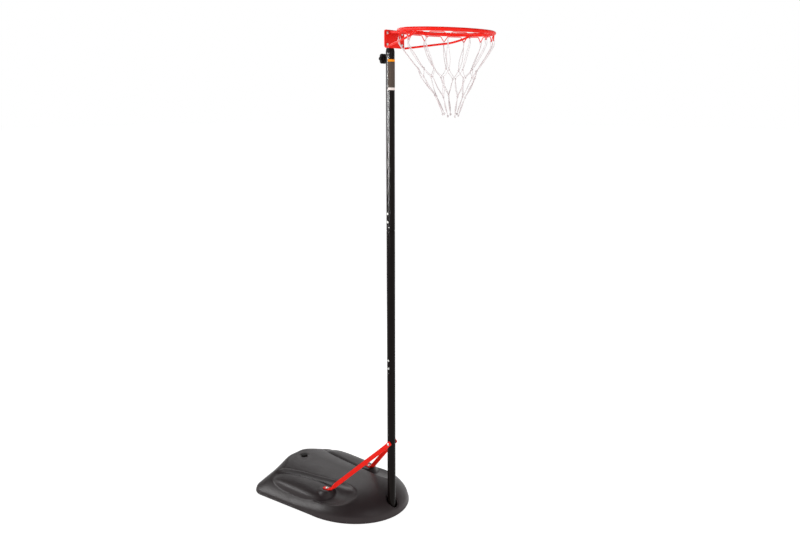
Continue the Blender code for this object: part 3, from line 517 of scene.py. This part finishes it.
# ------------------------------------------------------------------ materials
class Finish:
    """A Principled material whose nodes read object coordinates, in metres."""

    def __init__(self, name, colour, rough, metal=0.0, coat=0.0, coat_rough=0.1, specular=0.5):
        self.material = bpy.data.materials.new(name)
        self.material.use_nodes = True
        self.nodes = self.material.node_tree.nodes
        self.links = self.material.node_tree.links
        self.surface = self.nodes["Principled BSDF"]
        self.surface.inputs["Metallic"].default_value = metal
        self.surface.inputs["Coat Weight"].default_value = coat
        self.surface.inputs["Coat Roughness"].default_value = coat_rough
        self.surface.inputs["Specular IOR Level"].default_value = specular
        self.place = self.nodes.new("ShaderNodeTexCoord").outputs["Object"]
        self.colour = self.nodes.new("ShaderNodeRGB").outputs[0]
        self.colour.default_value = (*colour, 1)
        self.rough = self.nodes.new("ShaderNodeValue").outputs[0]
        self.rough.default_value = rough
        self.normal = None

    def noise(self, scale, detail=4.0, rough=0.55, stretch=(1, 1, 1)):
        squeeze = self.nodes.new("ShaderNodeMapping")
        squeeze.inputs["Scale"].default_value = stretch
        self.links.new(self.place, squeeze.inputs["Vector"])
        pattern = self.nodes.new("ShaderNodeTexNoise")
        pattern.inputs["Scale"].default_value = scale
        pattern.inputs["Detail"].default_value = detail
        pattern.inputs["Roughness"].default_value = rough
        self.links.new(squeeze.outputs[0], pattern.inputs["Vector"])
        return pattern.outputs["Fac"]

    def band(self, value, low, high, to_low=0.0, to_high=1.0):
        """value from low..high, clamped and carried to to_low..to_high."""
        node = self.nodes.new("ShaderNodeMapRange")
        for socket, number in zip(node.inputs[1:5], (low, high, to_low, to_high)):
            socket.default_value = number
        self.links.new(value, node.inputs[0])
        return node.outputs[0]

    def tint(self, factor, colour, blend="MIX"):
        """Mixes a colour in where factor is high."""
        node = self.nodes.new("ShaderNodeMix")
        node.data_type = "RGBA"
        node.blend_type = blend
        node.inputs[7].default_value = (*colour, 1)
        self.links.new(factor, node.inputs[0])
        self.links.new(self.colour, node.inputs[6])
        self.colour = node.outputs[2]
        return self

    def roughen(self, factor, amount):
        """Adds factor times amount to the roughness."""
        node = self.nodes.new("ShaderNodeMath")
        node.operation = "MULTIPLY_ADD"
        node.inputs[1].default_value = amount
        self.links.new(factor, node.inputs[0])
        self.links.new(self.rough, node.inputs[2])
        self.rough = node.outputs[0]
        return self

    def bump(self, height, depth, strength=1.0):
        node = self.nodes.new("ShaderNodeBump")
        node.inputs["Strength"].default_value = strength
        node.inputs["Distance"].default_value = depth
        self.links.new(height, node.inputs["Height"])
        if self.normal is not None:
            self.links.new(self.normal, node.inputs["Normal"])
        self.normal = node.outputs[0]
        return self

    def height(self):
        split = self.nodes.new("ShaderNodeSeparateXYZ")
        self.links.new(self.place, split.inputs[0])
        return split.outputs["Z"]

    def done(self):
        self.links.new(self.colour, self.surface.inputs["Base Color"])
        self.links.new(self.rough, self.surface.inputs["Roughness"])
        if self.normal is not None:
            self.links.new(self.normal, self.surface.inputs["Normal"])
        return self.material


def tank_plastic():
    """Charcoal polyethylene with a fine pebbled mould texture, faint mottling and scuffs."""
    finish = Finish("tank_plastic", (0.029, 0.0190, 0.0205), 0.38, specular=0.30)
    finish.tint(finish.band(finish.noise(7.0, 3), 0.40, 0.66, 0, 0.55), (0.036, 0.028, 0.028))
    finish.tint(finish.band(finish.noise(900, 2), 0.50, 0.72, 0, 0.25), (0.056, 0.046, 0.045))
    scuffs = finish.band(finish.noise(38, 6, 0.7, (1, 5, 1)), 0.66, 0.76)
    finish.tint(finish.band(scuffs, 0, 1, 0, 0.16), (0.13, 0.12, 0.115))
    finish.roughen(finish.band(finish.noise(16, 4), 0.3, 0.7), 0.05)
    finish.roughen(scuffs, 0.08)
    finish.bump(finish.noise(1150, 3, 0.6), 0.00028, 0.75)
    finish.bump(finish.noise(30, 2), 0.0011, 0.25)
    return finish.done()


def black_plastic():
    finish = Finish("black_plastic", (0.0065, 0.0050, 0.0047), 0.40, specular=0.07)
    finish.tint(finish.band(finish.noise(60, 4), 0.45, 0.7, 0, 0.5), (0.014, 0.013, 0.012))
    finish.roughen(finish.band(finish.noise(90, 5), 0.35, 0.7), 0.16)
    finish.bump(finish.noise(2200, 2), 0.00012, 0.6)
    return finish.done()


def black_paint():
    """Gloss powder coat on steel tube: slight orange peel, a few rubbed streaks along the tube."""
    finish = Finish("black_paint", (0.0048, 0.0030, 0.0026), 0.15, specular=0.08)
    finish.tint(finish.band(finish.noise(26, 4), 0.4, 0.7, 0, 0.5), (0.0072, 0.0050, 0.0045))
    streaks = finish.band(finish.noise(150, 5, 0.65, (1, 1, 0.03)), 0.60, 0.74)
    finish.tint(finish.band(streaks, 0, 1, 0, 0.22), (0.034, 0.029, 0.027))
    finish.roughen(streaks, 0.16)
    finish.roughen(finish.band(finish.noise(320, 3), 0.3, 0.7), 0.06)
    finish.bump(finish.noise(620, 2), 0.00003, 0.35)
    return finish.done()


def red_paint():
    """Bright red powder coat with orange peel, and slightly deeper colour in patches."""
    finish = Finish("red_paint", (0.800, 0.0120, 0.0050), 0.30, specular=0.11, coat=0.02, coat_rough=0.15)
    finish.tint(finish.band(finish.noise(34, 4), 0.42, 0.70, 0, 0.55), (0.700, 0.0095, 0.0045))
    finish.tint(finish.band(finish.noise(260, 4, 0.7), 0.64, 0.78, 0, 0.35), (0.36, 0.008, 0.008))
    finish.roughen(finish.band(finish.noise(110, 4), 0.3, 0.7), 0.14)
    finish.bump(finish.noise(760, 2), 0.00016, 0.45)
    return finish.done()


def zinc():
    """Bright zinc plate with turning marks and dull, slightly yellow patches."""
    finish = Finish("zinc", (0.62, 0.62, 0.60), 0.26, metal=1.0)
    finish.tint(finish.band(finish.noise(240, 4), 0.45, 0.7, 0, 0.6), (0.48, 0.47, 0.42))
    finish.roughen(finish.band(finish.noise(500, 5), 0.3, 0.7), 0.22)
    finish.bump(finish.noise(1800, 3, 0.5, (1, 1, 4)), 0.00010, 0.6)
    return finish.done()


def rubber():
    finish = Finish("rubber", (0.020, 0.020, 0.020), 0.62, specular=0.35)
    finish.tint(finish.band(finish.noise(120, 4), 0.45, 0.7, 0, 0.6), (0.036, 0.035, 0.034))
    finish.roughen(finish.band(finish.noise(400, 3), 0.3, 0.7), 0.14)
    finish.bump(finish.noise(1600, 2), 0.00014, 0.5)
    return finish.done()


def label_film(low, high):
    """A printed label without any words: an orange head, a grey-brown panel, a pale foot."""
    finish = Finish("label_film", (0.082, 0.062, 0.050), 0.42, specular=0.05)
    height = finish.height()
    wear = finish.noise(420, 4, 0.6, (1, 1, 0.5))
    finish.tint(finish.band(wear, 0.42, 0.66, 0, 0.5), (0.125, 0.098, 0.082))
    rules = finish.nodes.new("ShaderNodeMath")
    rules.operation = "PINGPONG"
    rules.inputs[1].default_value = 0.0030
    finish.links.new(height, rules.inputs[0])
    finish.tint(finish.band(rules.outputs[0], 0.0004, 0.0009, 0.55, 0.0), (0.045, 0.035, 0.030))
    foot_top = low + 0.0112
    head_bottom = high - 0.0098
    finish.tint(finish.band(height, head_bottom - 0.0022, head_bottom - 0.0020), (0.012, 0.010, 0.009))
    finish.tint(finish.band(height, head_bottom - 0.0001, head_bottom), (0.90, 0.30, 0.012))
    finish.tint(finish.band(height, foot_top + 0.0015, foot_top + 0.0013), (0.012, 0.010, 0.009))
    finish.tint(finish.band(height, foot_top, foot_top - 0.0001), (0.78, 0.70, 0.66))
    finish.roughen(finish.band(finish.noise(90, 4), 0.3, 0.7), 0.12)
    finish.bump(finish.noise(900, 2), 0.00006, 0.5)
    return finish.done()


def net_cord():
    """White braided nylon: fine slanting plaits with painted shade in their grooves, and a slightly grubby,
    pinkish tone.
    """
    finish = Finish("net_cord", (0.72, 0.65, 0.655), 0.70, specular=0.10)
    finish.surface.inputs["Sheen Weight"].default_value = 0.25
    finish.tint(finish.band(finish.noise(160, 4), 0.42, 0.68, 0, 0.6), (0.54, 0.47, 0.475))
    braid = finish.nodes.new("ShaderNodeTexWave")
    braid.bands_direction = "DIAGONAL"
    braid.inputs["Scale"].default_value = 420
    braid.inputs["Distortion"].default_value = 1.6
    finish.links.new(finish.place, braid.inputs["Vector"])
    # painted shade: darker where the braid pattern is low, in the grooves between the plaits
    finish.tint(finish.band(braid.outputs["Fac"], 0.0, 0.35, 0.35, 0.0), (0.38, 0.32, 0.325))
    finish.bump(braid.outputs["Fac"], 0.00022, 0.8)
    return finish.done()


NODE_FINISHES = {
    "black_paint": ("lower_pole", "middle_pole", "upper_pole", "inner_tube", "weld_nut"),
    "black_plastic": ("filler_cap", "foot_plug", "tube_guide", "top_bush", "top_cap", "clamp_knob"),
    "red_paint": ("rim_plate", "saddle_lower", "saddle_upper", "ring", "rim_neck", "brace_left",
                  "brace_right", "net_wire", "strut_left", "strut_right"),
    "rubber": ("cap_seal",),
    "label_film": ("label",),
}


def paint_nodes(nodes, finishes):
    """Gives every CAD node its finish. What isn't listed is a zinc-plated fastener."""
    by_node = {node: name for name, names in NODE_FINISHES.items() for node in names}
    for node, piece in nodes.items():
        for slot in piece.material_slots:
            slot.link = "OBJECT"
            slot.material = finishes[by_node.get(node, "zinc")]


SOFT_EDGES = {                    # widths of the small rounding on edges the CAD leaves sharp
    0.0008: ("rim_plate", "saddle_lower", "saddle_upper", "rim_neck", "strut_left", "strut_right"),
    0.0005: ("weld_nut", "filler_cap", "clamp_knob", "top_bush", "top_cap"),
}


def soften_edges(nodes):
    for width, names in SOFT_EDGES.items():
        for name in names:
            edge = nodes[name].modifiers.new("soft_edge", "BEVEL")
            edge.width = width
            edge.segments = 2
            edge.limit_method = "ANGLE"
            edge.angle_limit = math.radians(40)
            edge.harden_normals = False


def main():
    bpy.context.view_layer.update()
    make_camera()
    make_studio()
    label_low, label_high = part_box("label")
    finishes = {"tank_plastic": tank_plastic(), "black_plastic": black_plastic(),
                "black_paint": black_paint(), "red_paint": red_paint(), "zinc": zinc(),
                "rubber": rubber(), "label_film": label_film(label_low[2], label_high[2]),
                "net_cord": net_cord()}
    paint_nodes(frame["nodes"], finishes)
    soften_edges(frame["nodes"])
    net = make_net()
    for piece in net:
        piece.data.materials.append(finishes["net_cord"])
    light_stand(frame["nodes"], net)
    make_base().data.materials.append(finishes["tank_plastic"])


main()
